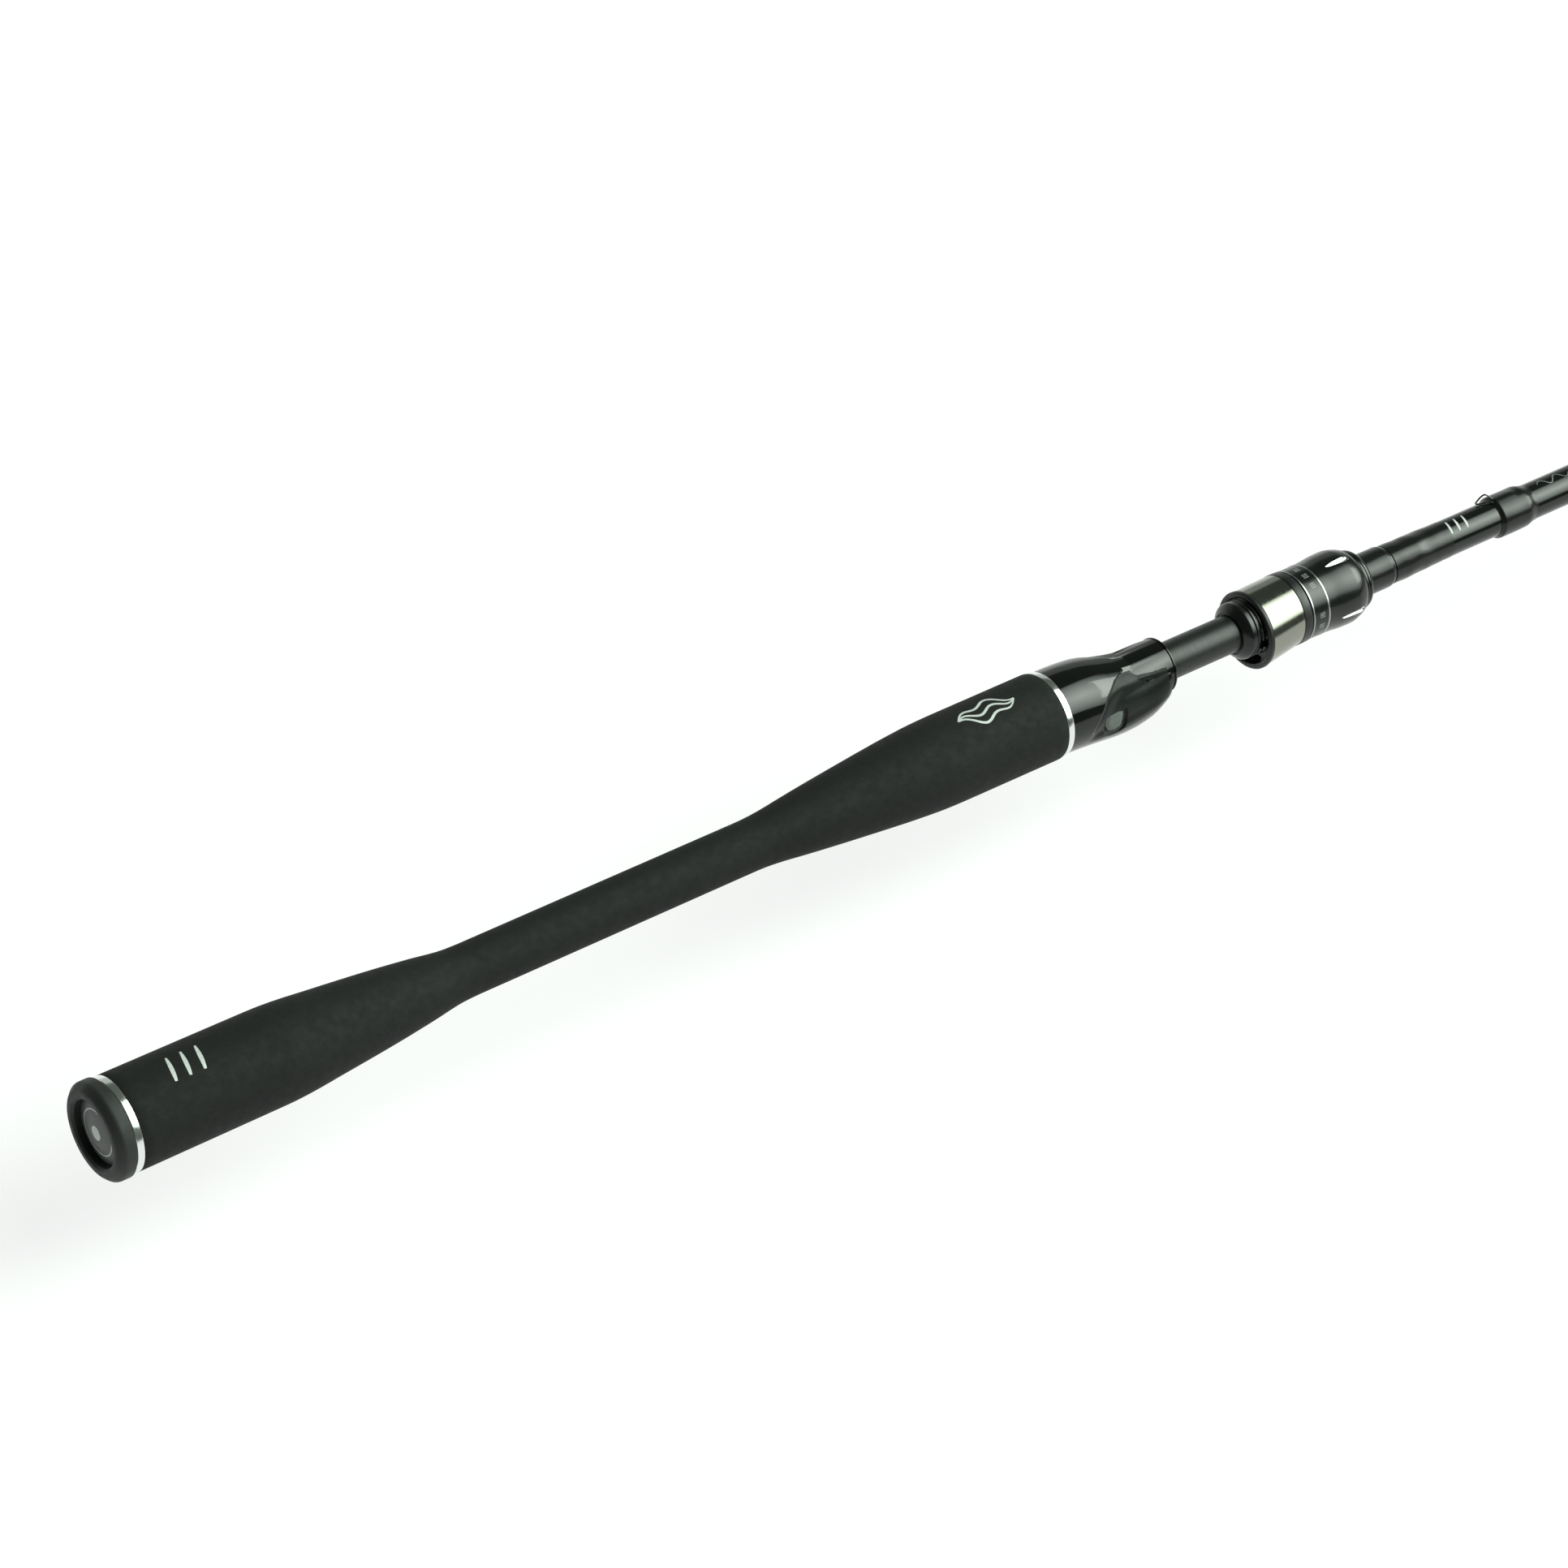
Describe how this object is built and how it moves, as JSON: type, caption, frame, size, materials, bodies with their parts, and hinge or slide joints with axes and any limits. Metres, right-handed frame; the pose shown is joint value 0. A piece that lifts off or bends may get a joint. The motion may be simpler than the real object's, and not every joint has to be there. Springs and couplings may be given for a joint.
{
  "type": "spinning rod",
  "caption": "One-piece spinning rod with waisted foam grip, split reel seat with sliding hood and lock nut, hook keeper, line guides and tip-top.",
  "frame": {"origin": "on the rod's axis, in the middle of the butt cap's cylindrical band", "axes": "+X along the rod from butt to tip, +Z the top of the rod, -Z the side of the reel and the line guides"},
  "size_m": [2.134, 0.0268, 0.0585],
  "materials": {
    "cap_rubber": "matte",
    "badge_grey": "satin",
    "ring_polished": "polished",
    "grip_foam": "matte",
    "seat_plastic": "gloss",
    "seat_inner": "matte",
    "sleeve_nickel": "satin",
    "nut_anodised": "satin",
    "snap_wire": "satin",
    "blank_black": "satin",
    "winding_lacquer": "gloss",
    "keeper_wire": "satin",
    "guide_metal": "satin",
    "guide_ceramic": "polished"
  },
  "bodies": {
    "rod": {"butt_cap": "cap_rubber", "butt_badge": "badge_grey", "butt_ring": "ring_polished", "grip": "grip_foam", "front_grip_ring": "ring_polished", "rear_hood": "seat_plastic", "rear_hood_trim": "seat_plastic", "rear_arbor": "seat_inner", "barrel_arbor": "seat_inner", "barrel": "seat_plastic", "blank": "blank_black", "trim_winding": "winding_lacquer", "front_winding": "winding_lacquer", "hook_keeper": "keeper_wire", "keeper_winding": "winding_lacquer", "tip_frame": "guide_metal", "tip_ring": "guide_ceramic", "tip_winding": "winding_lacquer", "guide_1_frame": "guide_metal", "guide_1_ring": "guide_ceramic", "guide_1_winding": "winding_lacquer", "guide_2_frame": "guide_metal", "guide_2_ring": "guide_ceramic", "guide_2_winding": "winding_lacquer", "guide_3_frame": "guide_metal", "guide_3_ring": "guide_ceramic", "guide_3_winding": "winding_lacquer", "guide_4_frame": "guide_metal", "guide_4_ring": "guide_ceramic", "guide_4_winding": "winding_lacquer", "guide_5_frame": "guide_metal", "guide_5_ring": "guide_ceramic", "guide_5_winding": "winding_lacquer", "guide_6_frame": "guide_metal", "guide_6_ring": "guide_ceramic", "guide_6_winding": "winding_lacquer", "guide_7_frame": "guide_metal", "guide_7_ring": "guide_ceramic", "guide_7_winding": "winding_lacquer"},
    "hood": {"hood_rim": "cap_rubber", "hood_sleeve": "sleeve_nickel", "hood_body": "seat_inner", "hood_collar": "seat_plastic", "snap_ring": "snap_wire"},
    "nut": {"nut_shell": "nut_anodised", "nut_insert": "seat_inner"}
  },
  "joints": [
    {"name": "nut_turn", "type": "hinge", "parent": "hood", "child": "nut", "pos_m": [0.402, 0, 0], "axis": [1, 0, 0], "range_deg": [-1440, 1440]},
    {"name": "hood_slide", "type": "slide", "parent": "rod", "child": "hood", "axis": [1, 0, 0], "range_m": [-0.006, 0.006]}
  ],
  "couplings": [
    {"joint": "hood_slide", "follows": "nut_turn", "m_per_rad": 0.00023873}
  ]
}
